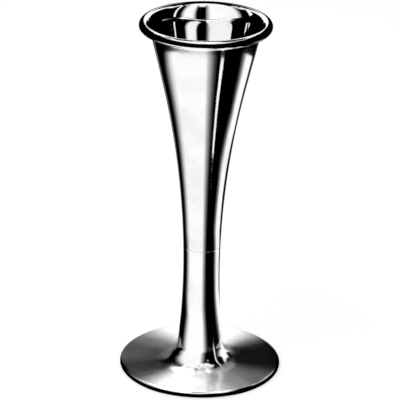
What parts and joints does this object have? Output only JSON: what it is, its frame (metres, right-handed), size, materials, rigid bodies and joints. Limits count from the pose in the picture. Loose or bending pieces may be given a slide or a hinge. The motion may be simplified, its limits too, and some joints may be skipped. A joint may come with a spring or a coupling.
{
  "type": "monaural stethoscope",
  "caption": "Trumpet-shaped metal monaural stethoscope: a flared bell with a rolled rim screws onto a slender stem that sweeps into a flat, round ear disc with a sound hole.",
  "frame": {"origin": "centre of the sound hole, on the ear plate's face", "axes": "+Z along the sound bore, from the ear plate to the bell's mouth; the picture looks along +Y with +X to the right"},
  "size_m": [0.073, 0.073, 0.165],
  "materials": {
    "spun_aluminium": "spun and polished bright, with fine turning lines",
    "plate_aluminium": "pressed and polished, satin from use",
    "brass": "turned",
    "washer_leather": "cut edge",
    "rim_steel": "drawn wire"
  },
  "bodies": {
    "foot": {"foot": "spun_aluminium", "ear_plate": "plate_aluminium", "foot_nipple": "brass"},
    "washer": {"joint_washer": "washer_leather"},
    "bell": {"bell": "spun_aluminium", "rim_wire": "rim_steel", "bell_ferrule": "brass"}
  },
  "joints": [
    {"name": "bell_lift", "type": "slide", "parent": "foot", "child": "washer", "axis": [0, 0, 1], "range_m": [0, 0.007]},
    {"name": "bell_unscrew", "type": "hinge", "parent": "washer", "child": "bell", "pos_m": [0, 0, 0.059], "axis": [0, 0, 1], "range_deg": [0, 1260]}
  ],
  "couplings": [
    {"joint": "bell_lift", "follows": "bell_unscrew", "m_per_rad": 0.00031831}
  ]
}
